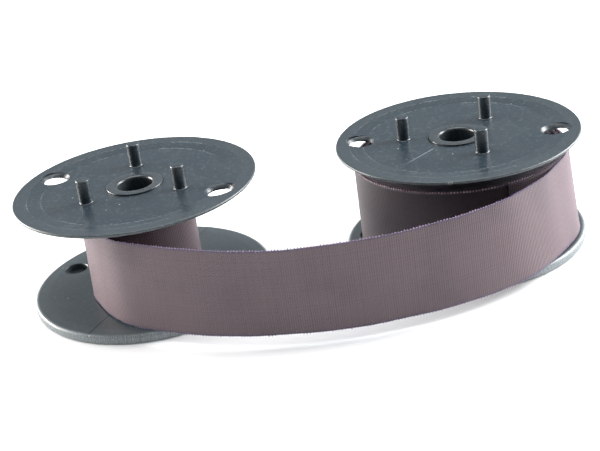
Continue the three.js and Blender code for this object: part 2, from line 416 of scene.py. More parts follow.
@dataclass(frozen=True)
class MouldedStyrene(Finish):
    """Injection-moulded high-impact polystyrene, coloured blue-black in the melt.

    The mould's fine spark grain breaks its gloss, so a flat face gives a broad slate-grey
    reflection of a pale room. Handling leaves fine lint and soft smudges on it, and wears the
    rims. The rims' pale bloom is partly that wear and partly painted reflection; the olive-grey
    outer band and the pale lines on the dish's ridges are painted reflection and painted highlight.
    """

    centre: tuple[float, float]  # the spool's axis, in metres
    turn: float  # degrees from the frame's X axis to the mark
    mark: Mark = Mark.NONE
    body: str = "#1c2830"
    band: str = "#2c363a"  # olive-grey of the smudges, and of the outer band, where it is painted reflection
    pale: str = "#97a1a5"  # the fine pale mottle, and the painted highlight on the dish's rings
    lint: str = "#b9c2c5"
    knit: str = "#0c0f10"
    scratch: str = "#8f9da4"
    roughness: float = 0.36
    unevenness: float = 0.35  # how much rougher smudges are than the clean face
    grain_mm: float = 0.22
    grain_depth_mm: float = 0.02
    smudge_mm: float = 7.0
    mottle_mm: float = 0.5
    # Lint and dust as (spacing, width, rarity, strength): a few big specks and many faint ones.
    specks: tuple = ((1.8, 0.2, 0.62, 0.85), (0.8, 0.11, 0.5, 0.45))
    rings_mm: tuple[float, ...] = (DISH_R, DISH_STEP_R)
    ring_highlight_strength: float = 0.5
    ring_highlight_patch_mm: float = 11.0  # size of the patches that break up the painted highlight on the rings
    rim_wear: float = 0.25  # how pale the rim is painted: rubbed wear and painted reflection
    rim_reach: float = 0.22  # how far in from the edge the wear and painted reflection go
    rim_pale: str = "#97a1a5"
    # Real rim streaks are about 0.1 mm apart; they are drawn wider, so that they show.
    rim_streak_mm: float = 0.22
    rim_grit_mm: float = 0.12

    def material(self) -> Material:
        """Builds the material.

        Returns:
            The material.
        """
        material, tree = self.begun()
        place = add_node(tree, COORDINATES).node.outputs["Object"]
        x, y = self.centre
        centred = add_node(tree, "ShaderNodeMapping", Vector=place, Location=(-x, -y, 0))
        x, y, _ = add_node(tree, SPLIT, centred).node.outputs
        radius = add_node(tree, VECTOR_MATHS, add_node(tree, JOIN, x, y), operation="LENGTH")
        radius_mm = add_node(tree, MATHS, radius, MM, operation="DIVIDE")
        smudge = add_node(tree, NOISE, centred, **blotches(self.smudge_mm, 5.0))
        mottle = add_node(tree, NOISE, centred, **blotches(self.mottle_mm, 3.0))
        # Smudges and mottle are real; the outer band's olive-grey past the dish's step is a painted
        # reflection.
        colour = self.tinted(
            tree, linear(self.body),
            (smudge, 0.4, 0.75, 0.6, self.band),
            (radius_mm, DISH_STEP_R - 0.15, DISH_STEP_R + 0.35, 0.6, self.band),
            (mottle, 0.5, 0.75, 0.1, self.pale),
        )
        grain = add_node(tree, NOISE, centred, **blotches(self.grain_mm))
        angle = add_node(tree, MATHS, y, x, operation="ARCTAN2")
        arc_mm = add_node(tree, MATHS, angle, FLANGE_R, operation="MULTIPLY")
        face = Face(tree, centred, radius_mm, arc_mm, colour, grain)
        self._paint_ring_highlights(face)
        self._lint(face)
        self._mark(face)
        self._rub_rim_and_paint_reflection(face)
        least = self.roughness - self.unevenness / 2
        roughness = add_node(tree, MATHS, smudge, self.unevenness, least, operation="MULTIPLY_ADD")
        depth = self.grain_depth_mm * MM
        bump = add_node(tree, BUMP, Height=face.height, Distance=depth, Strength=0.55)
        return self.ended(material, Base_Color=face.colour, Roughness=roughness, Normal=bump, IOR=1.59)

    def _paint_ring_highlights(self, face: Face) -> None:
        """Paints a pale highlight on the ridges of the dish, broken into patches.

        Args:
            face: The pattern so far.
        """
        tree = face.tree
        patches = add_node(tree, NOISE, face.place, **blotches(self.ring_highlight_patch_mm, 3.0))
        specks = add_node(tree, NOISE, face.place, **blotches(0.6))
        rubbed = add_node(tree, STEP, patches, 0.42, 0.6, **SMOOTH)
        dotted = add_node(tree, STEP, specks, 0.35, 0.6, **SMOOTH)
        broken = add_node(tree, MATHS, rubbed, dotted, operation="MULTIPLY")
        # Painted highlight along each ridge, where the dish's slope breaks.
        for ring in self.rings_mm:
            past = add_node(tree, MATHS, face.radius_mm, ring, operation="SUBTRACT")
            off = add_node(tree, MATHS, past, operation="ABSOLUTE")
            line = add_node(tree, STEP, off, 0.1, 0.03, 0.0, self.ring_highlight_strength, **SMOOTH)
            face.paint(self.pale, line, broken)

    def _lint(self, face: Face) -> None:
        """Adds specks of lint and dust.

        Args:
            face: The pattern so far.
        """
        tree = face.tree
        for spacing_mm, width_mm, rarity, strength in self.specks:
            scale = 1 / (spacing_mm * MM)
            cells = add_node(tree, "ShaderNodeTexVoronoi", Vector=face.place, Scale=scale).node.outputs
            chance = add_node(tree, "ShaderNodeSeparateColor", cells["Color"])
            speck = width_mm / spacing_mm / 2
            near = add_node(tree, STEP, cells["Distance"], 1.3 * speck, 0.6 * speck, **SMOOTH)
            kept = add_node(tree, STEP, chance, rarity, rarity + 0.2, 0.0, strength, **SMOOTH)
            face.paint(self.lint, near, kept)

    def _mark(self, face: Face) -> None:
        """Adds the face's straight mark, 0.1 mm wide.

        Args:
            face: The pattern so far.
        """
        if self.mark is Mark.NONE:
            return
        tree = face.tree
        turn = (0, 0, -math.radians(self.turn))
        spun = add_node(tree, "ShaderNodeMapping", Vector=face.place, Rotation=turn)
        x, y, _ = add_node(tree, SPLIT, spun).node.outputs
        wavy = add_node(tree, NOISE, spun, **blotches(3.0))
        wander = add_node(tree, MATHS, wavy, 0.25, -0.125, operation="MULTIPLY_ADD")
        across = add_node(tree, MATHS, y, 1 / MM, wander, operation="MULTIPLY_ADD")
        off = add_node(tree, MATHS, across, operation="ABSOLUTE")
        line = add_node(tree, STEP, off, 0.14, 0.05, **SMOOTH)
        if self.mark is Mark.KNIT_LINE:
            face.raise_by(line, -4.0)
            face.paint(self.knit, line, 0.9)
            return
        along = add_node(tree, MATHS, x, MM, operation="DIVIDE")
        ends = [add_node(tree, STEP, along, *end, **SMOOTH) for end in ((5.2, 5.8), (13.5, 9.0))]
        face.paint(self.scratch, line, 0.45, *ends)

    def _rub_rim_and_paint_reflection(self, face: Face) -> None:
        """Adds the rim's fine upright streaks, and a pale bloom that is partly rubbed wear and partly
        painted reflection.

        Args:
            face: The pattern so far.
        """
        tree = face.tree
        streaks = add_node(tree, NOISE, face.arc_mm, 1 / self.rim_streak_mm, 3.0, 0.7, **IN_A_LINE)
        grit = add_node(tree, NOISE, face.place, **blotches(self.rim_grit_mm, 4.0))
        worn = add_node(tree, MATHS, grit, 0.7, operation="MULTIPLY")
        rough = add_node(tree, MATHS, streaks, 0.3, worn, operation="MULTIPLY_ADD")
        edge = (FLANGE_R - self.rim_reach, FLANGE_R - 0.06)
        on_rim = add_node(tree, STEP, face.radius_mm, *edge, **SMOOTH)
        bloom = add_node(tree, STEP, rough, 0.25, 0.8, 0.0, self.rim_wear, **SMOOTH)
        face.paint(self.rim_pale, on_rim, bloom)
        face.raise_by(add_node(tree, MATHS, rough, on_rim, operation="MULTIPLY"), 3.0)


@dataclass(frozen=True)
class InkedNylon(Finish):
    """Plain-woven nylon tape, soaked in violet-black ink. Over a wound pack it can carry painted shade.

    The filaments keep a soft sheen, so the cloth is mauve-brown where light falls square on it
    and pinkish at a glancing angle. It reads the piece's own UV map, in millimetres of tape.
    """

    warp: str = "#4e4245"  # threads that run along the tape
    weft: str = "#6b5a60"  # threads that run across it
    stain: str = "#453e46"
    # Real threads are about 0.13 mm apart; they are drawn twice as far apart, so that they show.
    thread_mm: float = 0.26
    rib_mm: float = 0.31  # the weft's upright ribs, drawn coarser too
    # The filaments' twist shows as fine slanting lines.
    filament_mm: float = 0.36
    twist: float = 0.5  # how far the slanting lines rise for each millimetre of tape
    blot_mm: float = 9.0
    edge_mm: float = 0.35  # woven edge, more tightly packed and so darker
    edge: str = "#453b57"
    relief_mm: float = 0.035
    sheen: float = 0.45
    # Painted shade over a wound pack: dark up to this far along the tape, then fading out.
    painted_shade_to_mm: float = 0.0
    painted_shade: str = "#26242a"
    sheen_in_painted_shade: float = 0.18
    shade_fade_mm: float = 34.0

    def material(self) -> Material:
        """Builds the material.

        Returns:
            The material.
        """
        material, tree = self.begun()
        cloth = add_node(tree, "ShaderNodeUVMap", uv_map="UVMap")
        along, across, _ = add_node(tree, SPLIT, cloth).node.outputs
        slope = add_node(tree, MATHS, along, -self.twist, across, operation="MULTIPLY_ADD")
        waves = []
        chequer_mm = 2 * self.thread_mm
        for way, length_mm in (
            (along, chequer_mm), (across, chequer_mm), (slope, self.filament_mm), (along, self.rib_mm)
        ):
            turns = add_node(tree, MATHS, way, 2 * math.pi / length_mm, operation="MULTIPLY")
            waves.append(add_node(tree, MATHS, turns, operation="SINE"))
        *threads, filaments, ribs = waves
        over = add_node(tree, MATHS, *threads, operation="MULTIPLY")  # the weave's chequer, -1 to 1
        # Noise that changes from one thread to the next, along the tape and across it.
        picks, ends = (
            add_node(tree, NOISE, way, 1 / self.thread_mm, 2.0, **IN_A_LINE) for way in (along, across)
        )
        share, height = 0.5, 0.0
        for wave, in_colour, in_height in (
            (over, 0.12, 0.1), (filaments, 0.3, 0.25), (ribs, 0.19, 0.38), (picks, 0.0, 0.4)
        ):
            share = add_node(tree, MATHS, wave, in_colour, share, operation="MULTIPLY_ADD")
            height = add_node(tree, MATHS, wave, in_height, height, operation="MULTIPLY_ADD")
        blot = add_node(tree, NOISE, cloth, 1 / self.blot_mm, 4.0)
        colour = self.tinted(
            tree, add_node(tree, MIX, share, linear(self.warp), linear(self.weft), **COLOURS),
            (picks, 0.35, 0.65, 0.45, self.weft),
            (ends, 0.4, 0.7, 0.25, self.stain),
            (blot, 0.45, 0.75, 0.45, self.stain),
        )
        sheen = self.sheen
        # Painted shade over the wound pack: a darker colour and less sheen, fading out near the tape's
        # outer end.
        if self.painted_shade_to_mm:
            shade_gone_at = self.painted_shade_to_mm + self.shade_fade_mm
            colour = self.tinted(tree, colour, (along, shade_gone_at, self.painted_shade_to_mm, 0.7, self.painted_shade))
            sheen = add_node(tree, STEP, along, self.painted_shade_to_mm, shade_gone_at, self.sheen_in_painted_shade, sheen, **SMOOTH)
        middle = TAPE_WIDTH / 2
        past = add_node(tree, MATHS, across, middle, operation="SUBTRACT")
        from_middle = add_node(tree, MATHS, past, operation="ABSOLUTE")
        woven_edge = (from_middle, middle - self.edge_mm, middle - 0.1, 0.7, self.edge)
        bump = add_node(tree, BUMP, Height=height, Distance=self.relief_mm * MM, Strength=0.8)
        return self.ended(
            material, Base_Color=self.tinted(tree, colour, woven_edge), Roughness=0.58, IOR=1.53,
            Normal=bump, Sheen_Weight=sheen, Sheen_Roughness=0.4, Sheen_Tint=linear("#e6c9d2"),
        )


@dataclass(frozen=True)
class SelvedgeNylon(Finish):
    """The weft's turns at the tape's edges: bare filament bends that catch the light.

    They are violet where ink has gathered and pinkish where it has been rubbed off.
    """

    inked: str = "#3a3266"
    rubbed: str = "#937d9c"
    patch_mm: float = 14.0
    loop_mm: float = 0.5

    def material(self) -> Material:
        """Builds the material.

        Returns:
            The material.
        """
        material, tree = self.begun()
        place = add_node(tree, COORDINATES).node.outputs["Object"]
        patches = add_node(tree, NOISE, place, **blotches(self.patch_mm, 3.0))
        patch = add_node(tree, STEP, patches, 0.42, 0.6, 0.0, 0.5, **SMOOTH)
        loop = add_node(tree, NOISE, place, **blotches(self.loop_mm))
        share = add_node(tree, MATHS, loop, 0.7, patch, operation="MULTIPLY_ADD")
        colour = self.tinted(tree, linear(self.inked), (share, 0.3, 0.85, 1.0, self.rubbed))
        return self.ended(
            material, Base_Color=colour, Roughness=0.42, IOR=1.53, Sheen_Weight=0.4,
            Sheen_Tint=linear("#e2cfe0"),
        )


@dataclass(frozen=True)
class PressedBrass(Finish):
    """Cartridge brass, pressed and clinched, slightly dulled by ink and handling."""

    body: str = "#c9a24e"
    dull: str = "#8a6a35"
    tarnish_mm: float = 0.8

    def material(self) -> Material:
        """Builds the material.

        Returns:
            The material.
        """
        material, tree = self.begun()
        place = add_node(tree, COORDINATES).node.outputs["Object"]
        tarnish = add_node(tree, NOISE, place, 1 / (self.tarnish_mm * MM), 4.0)
        colour = add_node(tree, MIX, tarnish, linear(self.dull), linear(self.body), **COLOURS)
        rough = add_node(tree, MATHS, tarnish, 0.3, 0.15, operation="MULTIPLY_ADD")
        return self.ended(material, Base_Color=colour, Roughness=rough, Metallic=1.0)


@dataclass(frozen=True)
class WhiteSweep(Finish):
    """Matt white paper under the object. A little light of its own keeps shadows pale."""

    body: str = "#f4f4f4"
    glow: float = 0.07
    fibre_mm: float = 2.0

    def material(self) -> Material:
        """Builds the material.

        Returns:
            The material.
        """
        material, tree = self.begun()
        place = add_node(tree, COORDINATES).node.outputs["Object"]
        fibre = add_node(tree, NOISE, place, 1 / (self.fibre_mm * MM), 3.0)
        bump = add_node(tree, BUMP, Height=fibre, Distance=0.01 * MM)
        return self.ended(
            material, Base_Color=linear(self.body), Roughness=0.85, Normal=bump,
            Emission_Color=linear("#ffffff"), Emission_Strength=self.glow,
        )


# ---- Geometry node recipes ---------------------------------------------------------------


class Recipe:
    """A geometry node tree with named inputs, run once on a piece and then made plain mesh."""

    def __init__(self, name: str, inputs: dict[str, str]) -> None:
        """Starts a tree.

        Args:
            name: The tree's name.
            inputs: The kind of socket for each named input, such as "Float" or "Int".
        """
        self.tree = bpy.data.node_groups.new(name, "GeometryNodeTree")
        self.tree.interface.new_socket("Geometry", in_out="OUTPUT", socket_type="NodeSocketGeometry")
        for label, kind in {"Geometry": "Geometry", **inputs, "Finish": "Material"}.items():
            self.tree.interface.new_socket(label, in_out="INPUT", socket_type=f"NodeSocket{kind}")
        self.given = add_node(self.tree, "NodeGroupInput").node.outputs

    def end(self, shape: Socket) -> None:
        """Ends the tree in Realize Instances and Set Material.

        Args:
            shape: The geometry that the tree makes.
        """
        real = add_node(self.tree, "GeometryNodeRealizeInstances", shape)
        done = add_node(self.tree, "GeometryNodeSetMaterial", Geometry=real, Material=self.given["Finish"])
        add_node(self.tree, "NodeGroupOutput", done)

    def run(self, piece: Piece, finish: Material | None = None, **values: object) -> Piece:
        """Runs the tree on a piece.

        Args:
            piece: The object that it works on.
            finish: The material that it sets. A tool for making a piece needs none.
            **values: A value for each named input, with _ for a space.

        Returns:
            The piece, as a plain mesh with no modifier.
        """
        work = piece.modifiers.new(self.tree.name, "NODES")
        work.node_group = self.tree
        sockets = {s.name: s.identifier for s in self.tree.interface.items_tree if s.in_out == "INPUT"}
        if finish:
            work[sockets["Finish"]] = finish
        for label, value in values.items():
            work[sockets[label.replace("_", " ")]] = value
        return settled(piece)


def ring_recipe() -> Recipe:
    """Makes copies of the piece, evenly spaced on a circle about Z.

    Returns:
        The recipe. Its inputs are Count, Radius and the First copy's angle.
    """
    recipe = Recipe("evenly_spaced_on_a_circle", {"Count": "Int", "Radius": "Float", "First": "Float"})
    tree, given = recipe.tree, recipe.given
    index = add_node(tree, "GeometryNodeInputIndex")
    step = add_node(tree, MATHS, 2 * math.pi, given["Count"], operation="DIVIDE")
    angle = add_node(tree, MATHS, index, step, given["First"], operation="MULTIPLY_ADD")
    heading = add_node(tree, JOIN, *(add_node(tree, MATHS, angle, operation=o) for o in ("COSINE", "SINE")))
    place = add_node(tree, VECTOR_MATHS, heading, given["Radius"], operation="SCALE")
    points = add_node(tree, "GeometryNodePoints", Count=given["Count"], Position=place)
    recipe.end(add_node(tree, "GeometryNodeInstanceOnPoints", Points=points, Instance=given["Geometry"]))
    return recipe


def winding_recipe(
    steps: int = 144, outer_share: float = 0.15, widest: float = 85, narrowest: float = 4
) -> Recipe:
    """Winds a tape in a spiral about Z, standing on edge, that bulges over an eyelet.

    Args:
        steps: Straight stretches in each turn.
        outer_share: How much of the bulge is left at the outermost turn.
        widest: Degrees from the eyelet to where the bulge ends.
        narrowest: Degrees from the eyelet to where it is full.

    Returns:
        The recipe. Its inputs are the Inner and Outer radius, Turns, Clockwise, Thickness, Width,
        Bulge and its Bulge Angle, the Wander of the turns' edges up and down, Seed and the First
        angle.
    """
    names = (
        "Inner", "Outer", "Turns", "Clockwise", "Thickness", "Width", "Bulge", "Bulge Angle", "Wander",
        "Seed", "First",
    )
    recipe = Recipe("wound_tape", dict.fromkeys(names, "Float"))
    tree, given = recipe.tree, recipe.given
    spiral = add_node(
        tree, "GeometryNodeCurveSpiral", Resolution=steps, Rotations=given["Turns"],
        Start_Radius=given["Inner"], End_Radius=given["Outer"], Height=0.0,
    )
    # The spiral starts at +Y and goes clockwise; this mirrors it if need be and turns it to First.
    facing = add_node(tree, JOIN, given["Clockwise"], 1.0, 1.0)
    turn = add_node(tree, JOIN, Z=add_node(tree, MATHS, given["First"], math.pi / 2, operation="SUBTRACT"))
    mirrored = add_node(tree, "GeometryNodeTransform", Geometry=spiral, Scale=facing)
    spun = add_node(tree, "GeometryNodeTransform", Geometry=mirrored, Rotation=turn)
    length = add_node(tree, "GeometryNodeSplineParameter").node.outputs["Length"]
    marked = add_node(
        tree, "GeometryNodeStoreNamedAttribute", Geometry=spun, Name="along", Value=length,
        data_type="FLOAT", domain="POINT",
    )
    place = add_node(tree, "GeometryNodeInputPosition")
    x, y, z = add_node(tree, SPLIT, place).node.outputs
    angle = add_node(tree, MATHS, y, x, operation="ARCTAN2")
    from_eyelet = add_node(tree, MATHS, angle, given["Bulge Angle"], operation="SUBTRACT")
    near = add_node(tree, MATHS, from_eyelet, operation="COSINE")
    ends = (math.cos(math.radians(a)) for a in (widest, narrowest))
    over = add_node(tree, STEP, near, *ends, **SMOOTH)
    radius = add_node(tree, VECTOR_MATHS, place, operation="LENGTH")
    inwards = add_node(tree, MATHS, given["Outer"], radius, operation="SUBTRACT")
    whole = add_node(tree, MATHS, given["Outer"], given["Inner"], operation="SUBTRACT")
    depth = add_node(tree, MATHS, inwards, whole, operation="DIVIDE")
    share = add_node(tree, MATHS, depth, 1 - outer_share, outer_share, operation="MULTIPLY_ADD")
    rise = add_node(tree, MATHS, share, given["Bulge"], operation="MULTIPLY")
    outward = add_node(tree, VECTOR_MATHS, place, operation="NORMALIZE")
    far = add_node(tree, MATHS, over, rise, operation="MULTIPLY")
    push = add_node(tree, VECTOR_MATHS, outward, far, operation="SCALE")
    bulged = add_node(tree, "GeometryNodeSetPosition", Geometry=marked, Offset=push)
    upright = add_node(tree, "GeometryNodeSetCurveNormal", bulged, mode="Z_UP")
    section = add_node(
        tree, "GeometryNodeCurvePrimitiveQuadrilateral", Width=given["Thickness"], Height=given["Width"],
        mode="RECTANGLE",
    )
    wound = add_node(tree, "GeometryNodeCurveToMesh", Curve=upright, Profile_Curve=section, Fill_Caps=True)
    along = add_node(tree, "GeometryNodeInputNamedAttribute", Name="along", data_type="FLOAT")
    shifted = add_node(tree, MATHS, along, given["Seed"], operation="ADD")
    uneven = add_node(tree, NOISE, shifted, 90.0, 2.0, **IN_A_LINE)
    centred = add_node(tree, MATHS, uneven, 0.5, operation="SUBTRACT")
    lift = add_node(tree, MATHS, centred, given["Wander"], operation="MULTIPLY")
    raised = add_node(tree, "GeometryNodeSetPosition", Geometry=wound, Offset=add_node(tree, JOIN, Z=lift))
    above = add_node(tree, MATHS, given["Width"], 0.5, z, operation="MULTIPLY_ADD")
    in_mm = (add_node(tree, MATHS, way, MM, operation="DIVIDE") for way in (along, above))
    cloth = add_node(tree, JOIN, *in_mm)
    recipe.end(add_node(
        tree, "GeometryNodeStoreNamedAttribute", Geometry=raised, Name="UVMap", Value=cloth,
        data_type="FLOAT2", domain="CORNER",
    ))
    return recipe


def selvedge_recipe() -> Recipe:
    """Sets rows of small thread loops along the piece's edge lines.

    Returns:
        The recipe. Its inputs are the Pitch between loops, the Loop's length, thickness and height
        as a vector, and Seed.
    """
    recipe = Recipe("selvedge_loops", {"Pitch": "Float", "Loop": "Vector", "Seed": "Int"})
    tree, given = recipe.tree, recipe.given
    line = add_node(tree, "GeometryNodeMeshToCurve", given["Geometry"])
    spaced = add_node(tree, "GeometryNodeResampleCurve", Curve=line, Length=given["Pitch"], mode="LENGTH")
    loop = add_node(tree, "GeometryNodeMeshIcoSphere", Radius=0.5, Subdivisions=1)
    heading = add_node(tree, "GeometryNodeInputTangent")
    turned_to = add_node(
        tree, "FunctionNodeAlignRotationToVector", Vector=heading, axis="X", pivot_axis="Z"
    )
    uneven = add_node(
        tree, "FunctionNodeRandomValue", (0.75, 0.7, 0.55), (1.15, 1.2, 1.35), Seed=given["Seed"],
        data_type="FLOAT_VECTOR",
    )
    size = add_node(tree, VECTOR_MATHS, uneven, given["Loop"], operation="MULTIPLY")
    loops = add_node(
        tree, "GeometryNodeInstanceOnPoints", Points=spaced, Instance=loop, Rotation=turned_to, Scale=size
    )
    recipe.end(add_node(tree, "GeometryNodeSetShadeSmooth", Geometry=loops))
    return recipe


@dataclass
class Workshop:
    """The recipes and the shared materials that every class uses."""

    ring: Recipe
    winding: Recipe
    selvedge: Recipe
    nylon: Material
    loops: Material
    packed_loops: Material
    brass: Material

    @classmethod
    def opened(cls) -> "Workshop":
        """Builds every recipe and shared material once.

        Returns:
            The workshop.
        """
        # The windings' loops are a paler, pinker copy of the selvedge: painted highlight on the pack's lit
        # edges.
        packed = SelvedgeNylon("nylon_selvedge_turns_packed", inked="#9a7280", rubbed="#f2d0d8")
        return cls(
            ring=ring_recipe(),
            winding=winding_recipe(),
            selvedge=selvedge_recipe(),
            nylon=InkedNylon("woven_nylon_inked").material(),
            loops=SelvedgeNylon("nylon_selvedge_turns").material(),
            packed_loops=packed.material(),
            brass=PressedBrass("cartridge_brass_pressed").material(),
        )


# ---- The spools --------------------------------------------------------------------------


@dataclass
class Spool:
    """One flanged spool with its ribbon winding.

    Sizes are in millimetres. Heights come from the frame; the rest are the moulding's own.
    """

    shop: Workshop
    side: Side
    turn: float  # degrees from the frame's X axis to the first drive pin
    ribbon_end: float  # frame angle, in degrees, where the outermost turn becomes the free ribbon
    clockwise: bool  # whether the ribbon winds outwards clockwise, seen from above
    seed: float  # of the wander of its turns' edges
    face_mark: Mark = Mark.NONE
    face_mark_turn: float = 0.0
    painted_shade: bool = False  # whether its winding gets painted shade over the pack
    rim_sides: int = 216
    pin_r: float = 0.98
    pin_height: float = 3.55
    pin_foot_fillet: float = 0.22
    pin_tip_fillet: float = 0.25
    hole_lip: float = 0.42
    hole_overcut: float = 1.5
    socket_depth: float = 1.0
    socket_lip: float = 0.1
    nub_r: float = 0.4
    nub_inset: float = 0.16
    drive_rise: float = 0.4  # how far the drive flange's rim stands above its flat middle
    drive_rim: float = 0.55  # thickness of its rim
    drum_gap: float = 0.25  # from the drum's lower end to the winding's edge
    slot_half: float = 0.8  # half the width of the slot for the ribbon's end
    slot_floor: float = 4.7
    turn_pitch: float = 0.125
    tape_thick: float = 0.07
    bulge: float = 1.0  # of the innermost turn over the eyelet
    wander: float = 0.45  # of the turns' edges, up and down
    shade_fading_length: float = 38.0  # how much of the winding's outer end has its painted shade fading out
    loop_pitch: float = 0.43
    loop_size: tuple[float, float, float] = (0.3, 0.18, 0.28)

    def __post_init__(self) -> None:
        """Reads the spool's place and heights from the frame."""
        low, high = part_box(self.node("hub"))
        self.axis = Vector(((low.x + high.x) / 2, (low.y + high.y) / 2, 0))
        self.hub_base = low.z / MM
        self.hub_top = high.z / MM
        self.base_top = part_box(self.node("base_flange"))[1].z / MM
        drive_low, drive_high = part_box(self.node("drive_flange"))
        self.drive_under = drive_low.z / MM
        self.drive_top = drive_high.z / MM - self.pin_height
        tape_low, tape_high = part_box(self.node("winding"))
        self.tape_low, self.tape_high = tape_low.z / MM, tape_high.z / MM
        self.tape_r = (tape_high.x - tape_low.x) / 2 / MM
        self.way = -1 if self.clockwise else 1

    @property
    def body(self) -> str:
        """The CAD body that the spool's pieces ride on."""
        return f"{self.side.value}_spool"

    @property
    def turns(self) -> float:
        """How many turns lie between the hub's slot and the point where the free ribbon leaves."""
        part = (self.way * (self.ribbon_end - self.turn - SLOT_ANGLE) / 360) % 1
        return round((self.tape_r - DRUM_R) / self.turn_pitch) - 1 + part

    @property
    def tape_length(self) -> float:
        """Length of the wound ribbon, in metres."""
        return math.pi * (self.tape_r + DRUM_R) * self.turns * MM

    def node(self, part: str) -> str:
        """The CAD node's name for one of the spool's parts."""
        return f"{self.side.value}_{part}"

    def styrene(self, name: str, **changes: object) -> Material:
        """The moulded plastic, centred on this spool."""
        given = {"centre": (self.axis.x, self.axis.y), "turn": self.turn, **changes}
        return MouldedStyrene(f"moulded_polystyrene_{self.side.value}_{name}", **given).material()

    def fitted(self, piece: Piece, finish: Material, part: str) -> Piece:
        """Puts a finished moulding in its CAD node's stead.

        Args:
            piece: The moulding, made about the origin with its first pin on +X.
            finish: Its material.
            part: The part of the spool that it stands for.

        Returns:
            The piece, in its place.
        """
        shaded(piece, 32)
        weighted = piece.modifiers.new("flat faces stay flat", "WEIGHTED_NORMAL")
        weighted.keep_sharp = True
        settled(piece)
        spin = Matrix.Rotation(math.radians(self.turn), 4, "Z")
        piece.data.transform(Matrix.Translation(self.axis) @ spin)
        dressed(piece, finish)
        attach(piece, self.body)
        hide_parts(self.node(part))
        return piece

    def hole_tool(self, face: float, bottom: float, lip: float) -> Piece:
        """Makes the tool that cuts both edge holes, each with a rounded lip.

        Args:
            face: Height of the flange's upper face at the holes.
            bottom: Height that the holes go down to.
            lip: Width and depth of the lip.

        Returns:
            The closed tool.
        """
        # The lip's outline, as shares of its size: outwards from the hole and down from the face.
        flare = ((0, 1.2), (0.15, 1), (0.88, 0.19), (1.07, 0.05), (1.33, 0))
        edge = [(EDGE_HOLE_R + out * lip, face - down * lip) for out, down in flare]
        top = face + self.hole_overcut
        outline = [(0, bottom), (EDGE_HOLE_R, bottom), *edge, (edge[-1][0], top), (0, top)]
        tool = turned("edge_hole_tool", outline, 48)
        return self.shop.ring.run(tool, Count=EDGE_HOLE_COUNT, Radius=EDGE_HOLE_CIRCLE_R * MM, First=0.0)

    def gate_nub(self, low: float, high: float) -> Piece:
        """Makes the small upright stub that the mould's gate leaves on a rim.

        Args:
            low: Height of its lower end.
            high: Height of its upper end.

        Returns:
            The closed stub.
        """
        outline = rounded([(0, low, 0), (self.nub_r, low, 0.15), (self.nub_r, high, 0.15), (0, high, 0)], 3)
        nub = turned("gate_nub", outline, 14)
        radius = (FLANGE_R - self.nub_inset) * MM
        return self.shop.ring.run(nub, Count=1, Radius=radius, First=math.radians(KNIT_ANGLE))

    def drive_pins(self) -> Piece:
        """Makes the drive pins, each with a filleted foot and a rounded tip.

        Returns:
            The closed pins, as one object.
        """
        foot_r, tip_r = self.pin_foot_fillet, self.pin_tip_fillet
        top, tip = self.drive_top, self.drive_top + self.pin_height
        quarter = [(1 - math.sin(k * math.pi / 10), 1 - math.cos(k * math.pi / 10)) for k in range(6)]
        foot = [(self.pin_r + foot_r * across, top + foot_r * up) for across, up in quarter]
        head = [(self.pin_r - tip_r * across, tip - tip_r * down) for down, across in quarter]
        low = (top + self.drive_under) / 2
        pin = turned("drive_pin", [(0, low), (self.pin_r + foot_r, low), *foot, *head, (0, tip)], 40)
        return self.shop.ring.run(pin, Count=PIN_COUNT, Radius=PIN_CIRCLE_R * MM, First=0.0)

    def drive_flange(self) -> Piece:
        """Builds the thin dished flange with its three drive pins and two edge holes.

        Returns:
            The flange, in its place.
        """
        top, under = self.drive_top, self.drive_under
        rim_top = top + self.drive_rise
        rim_under = rim_top - self.drive_rim
        inner = SPIGOT_R + JOINT_LINE
        outline = rounded([
            (inner, under, 0.05),
            (DISH_R, under, 0.3),
            (FLANGE_R - 0.2, rim_under, 0.1),
            (FLANGE_R, rim_under + 0.15, 0.1),
            (FLANGE_R, rim_top - 0.16, 0.1),
            (FLANGE_R - 0.16, rim_top, 0.1),
            (DISH_STEP_R + 0.12, top + 0.27, 0.06),
            (DISH_STEP_R - 0.12, top + 0.22, 0.06),
            (DISH_R + 0.12, top + 0.03, 0.05),
            (DISH_R - 0.1, top, 0.05),
            (inner, top, 0.06),
        ], 4)
        flange = turned(self.node("drive_flange_moulding"), outline, self.rim_sides)
        machined(flange, self.hole_tool(top + 0.02, under - 1, self.hole_lip), "DIFFERENCE")
        machined(flange, self.drive_pins(), "UNION")
        machined(flange, self.gate_nub(rim_under + 0.1, rim_top - 0.1), "UNION")
        finish = self.styrene("drive_flange", mark=self.face_mark, turn=self.face_mark_turn)
        return self.fitted(flange, finish, "drive_flange")

    def base_flange(self) -> Piece:
        """Builds the thicker flange that the spool stands on.

        Returns:
            The flange, in its place.
        """
        inner, top = SPIGOT_R + JOINT_LINE, self.base_top
        corners = [(inner, 0, 0.1), (FLANGE_R, 0, 0.4), (FLANGE_R, top, 0.62), (inner, top, 0.06)]
        flange = turned(self.node("base_flange_moulding"), rounded(corners, 6), self.rim_sides)
        machined(flange, self.hole_tool(top, top - self.socket_depth, self.socket_lip), "DIFFERENCE")
        machined(flange, self.gate_nub(0.25, top - 0.25), "UNION")
        # The base flange's rim is painted much paler: mostly painted reflection of the bright floor, with
        # some rubbed wear.
        finish = self.styrene(
            "base_flange", mark=Mark.KNIT_LINE, turn=self.turn + KNIT_ANGLE, rings_mm=(),
            body="#363f44", band="#424b4e", rim_wear=0.85, rim_reach=0.7, rim_pale="#bec6c9",
        )
        return self.fitted(flange, finish, "base_flange")

